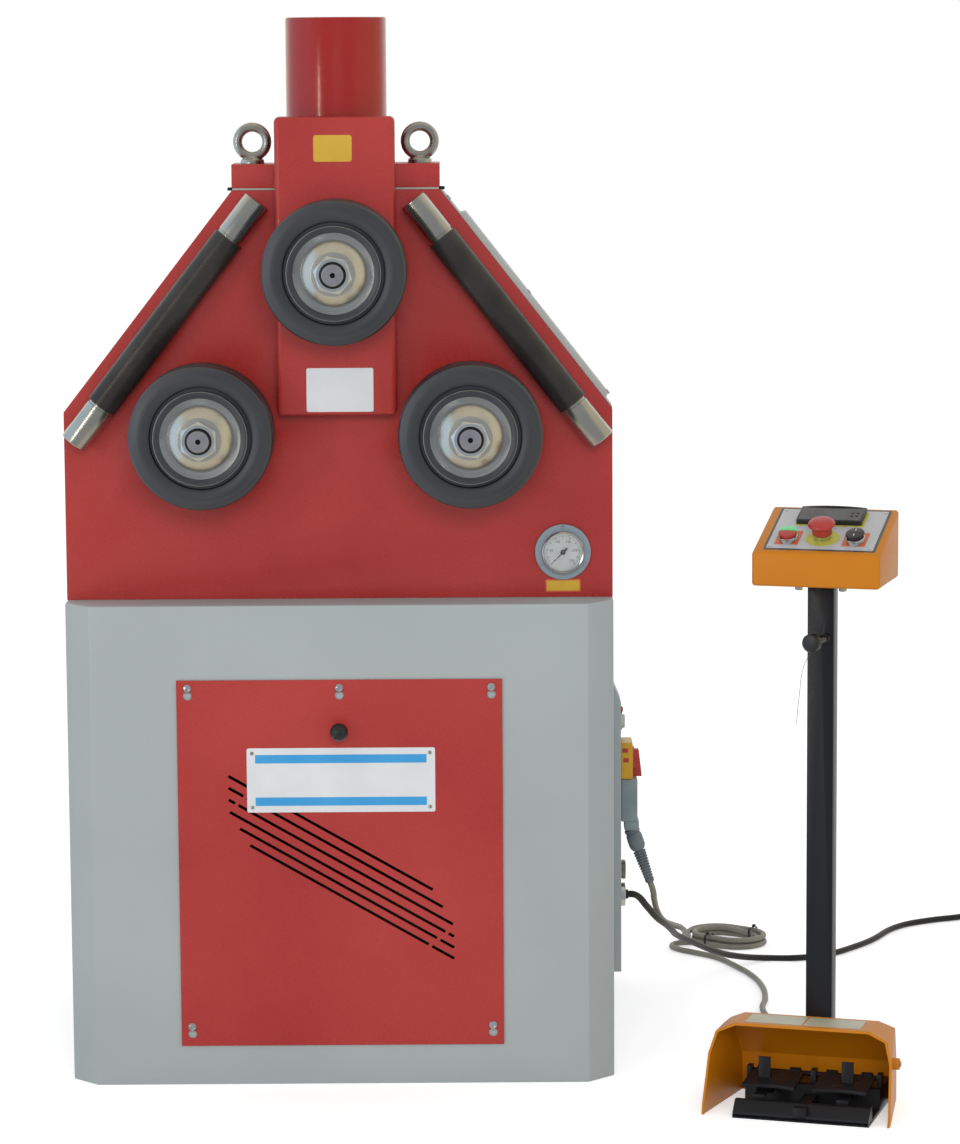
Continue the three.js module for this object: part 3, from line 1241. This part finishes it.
// Places of the control stand's own frame, seen from the machine's
function fromStand([x, y, z]) {
  const turn = stand.turnDegrees * radians;
  return [
    stand.x + x * Math.cos(turn) - y * Math.sin(turn),
    stand.y + x * Math.sin(turn) + y * Math.cos(turn),
    z,
  ];
}

const glandMouth = [column.x, column.back + gland.length + seatGap, gland.z];
const greyFootRoute = [...hankExit, ...greyFootLine, ...footEntryLine.map(fromStand), fromStand(glandMouth)];

function makePlug() {
  const start = seatGap;
  const bodyFrom = start + plug.sleeveLength;
  const bodyTo = bodyFrom + plug.bodyLength;
  const end = bodyTo + plug.collarLength;
  const floor = bodyTo + plug.collarWall;
  const inner = plug.collarRadius - plug.collarWall;
  const body = turned("y", [
    [0, start], [plug.sleeveRadius, start], [plug.sleeveRadius, bodyFrom], [plug.bodyRadius, bodyFrom + plug.shoulder],
    [plug.bodyRadius, bodyTo], [plug.collarRadius, bodyTo], [plug.collarRadius, end], [inner, end],
    [inner, floor], [0, floor],
  ], [0, 0]);
  const pins = circleOutline([0, 0], plug.pinRing, plug.pins).map((place) =>
    rod("y", plug.pinRadius, [bodyTo, floor + plug.pinLength], place, fewSides / 2));
  const shape = surface(join(body, ...pins));
  const tail = coilLine[coilLine.length - 1];
  const turn = new THREE.Quaternion().setFromUnitVectors(new THREE.Vector3(0, 1, 0), coilWay);
  return shape.applyQuaternion(turn).translate(tail.x, tail.y, tail.z);
}

// Assembly

const machine = new THREE.Group();
machine.position.set(0, -machineCentre, 0);

const headFrame = new THREE.Group();
headFrame.position.set(0, 0, cabinet.height);
machine.add(headFrame);

const sideFrame = new THREE.Group();
sideFrame.position.set(cabinet.width / 2, 0, 0);
machine.add(sideFrame);

const standFrame = new THREE.Group();
standFrame.position.set(stand.x, stand.y, 0);
standFrame.rotation.z = stand.turnDegrees * radians;
sideFrame.add(standFrame);

const panelFrame = new THREE.Group();
panelFrame.position.set(0, controlBox.front, controlBox.frontHigh);
panelFrame.rotation.x = boxSlope;
standFrame.add(panelFrame);

function add(name, shape, finish, frame = machine) {
  const [color, roughness, metalness] = finishes[finish];
  const material = new THREE.MeshStandardMaterial({ color, roughness, metalness });
  const mesh = new THREE.Mesh(surface(shape), material);
  mesh.name = name;
  frame.add(mesh);
}

add("cabinet", makeCabinet(), "palePaint");
add("front_panel", makeFrontPanel(), "redPaint");
add("front_frame_plate", makeFrontFramePlate(), "redPaint", headFrame);
add("head_shell", makeHeadShell(), "redPaint", headFrame);
add("slope_cover", makeSlopeCover(), "greyPaint", headFrame);
add("cap_plate", makeCapPlate(), "redPaint", headFrame);
add("left_eye_bolt", makeEyeBolt(-1), "brightSteel", headFrame);
add("right_eye_bolt", makeEyeBolt(1), "brightSteel", headFrame);
add("slide_head", makeSlideHead(), "redPaint", headFrame);
add("cylinder_tube", makeCylinderTube(), "redPaint", headFrame);
add("piston_rod", makePistonRod(), "chrome", headFrame);

const topPlace = [0, slide.rollZ];
add("top_shaft", makeTopShaft(topPlace), "darkSteel", headFrame);
add("top_roll", makeRoll(topPlace), "darkSteel", headFrame);
add("top_clamp_nut", makeClampNut(topPlace, quarterTurn * radians / 5), "zinc", headFrame);
for (const [index, name] of ["left", "right"].entries()) {
  const place = lowerRollPlaces[index];
  add(`lower_${name}_shaft`, makeLowerShaft(place), "darkSteel", headFrame);
  add(`lower_${name}_roll`, makeRoll(place), "darkSteel", headFrame);
  add(`lower_${name}_clamp_nut`, makeClampNut(place, quarterTurn * radians * index / 4), "zinc", headFrame);
  add(`lower_${name}_gear`, makeGear(place), "darkSteel", headFrame);
  add(`${name}_bearing_cartridge`, makeBearingCartridge(place), "castIron", headFrame);
  add(`${name}_guide_bar`, makeGuideBar(2 * index - 1), "brightSteel", headFrame);
}
const drivePlace = [0, roll.lowerZ];
add("drive_pinion", makePinion(drivePlace), "darkSteel", headFrame);
add("drive_gearbox", makeGearbox(drivePlace), "castIron", headFrame);

add("gauge_case", makeGaugeCase(), "bluedCase", headFrame);
add("gauge_needle", makeNeedle(), "blackPlastic", headFrame);
add("power_pack", makePowerPack(), "castIron");
add("side_box", makeSideBox(), "palePaint", sideFrame);
add("side_button", makeSideButton(), "whitePlastic", sideFrame);
add("switch_body", makeSwitchBody(), "yellowPlastic", sideFrame);
add("switch_handle", makeSwitchHandle(), "redPlastic", sideFrame);
add("connector_hood", makeConnectorHood(), "greyPlastic", sideFrame);
add("bend_relief", makeBendRelief(), "greyPlastic", sideFrame);
add("mains_flange", makeMainsFlange(), "greyPlastic", sideFrame);

add("foot_base", makeFootBase(), "blackPlastic", standFrame);
for (const span of pedalSpans) {
  add(`${span.name}_pedal`, makePedal(span), "blackPlastic", standFrame);
  add(`${span.name}_toe_latch`, makeToeLatch(span), "blackPlastic", standFrame);
}
add("foot_guard", makeFootGuard(), "orangePlastic", standFrame);
add("outer_column", makeOuterColumn(), "blackPlastic", standFrame);
add("inner_column", makeInnerColumn(), "brightSteel", standFrame);
add("clamp_knob", makeClampKnob(), "blackPlastic", standFrame);
add("control_box", makeControlBox(), "orangePlastic", standFrame);
add("emergency_stop", makeEmergencyStop(), "redPlastic", panelFrame);
add("start_button", makeButtonHalf(-rocker.x, 1), "greenPlastic", panelFrame);
add("stop_button", makeButtonHalf(-rocker.x, -1), "redPlastic", panelFrame);
add("up_button", makeButtonHalf(rocker.x, 1), "blackPlastic", panelFrame);
add("down_button", makeButtonHalf(rocker.x, -1), "blackPlastic", panelFrame);

add("grey_lead", cordTube([...greyLeadLine, ...hankStart], greyCord), "greyCable", sideFrame);
add("grey_coil", woundTube(hankLine, greyCord.radius), "greyCable", sideFrame);
add("grey_foot_lead", cordTube(greyFootRoute, greyCord), "greyCable", sideFrame);
add("mains_lead", cordTube([...mainsLeadLine, ...coilStart], mainsCord), "blackCable", sideFrame);
add("mains_coil", woundTube(coilLine, mainsCord.radius), "blackCable", sideFrame);
add("mains_plug", makePlug(), "redPlastic", sideFrame);
add("tag_wire", cordTube(tagLine, tagCord), "brightSteel", standFrame);

export default machine;
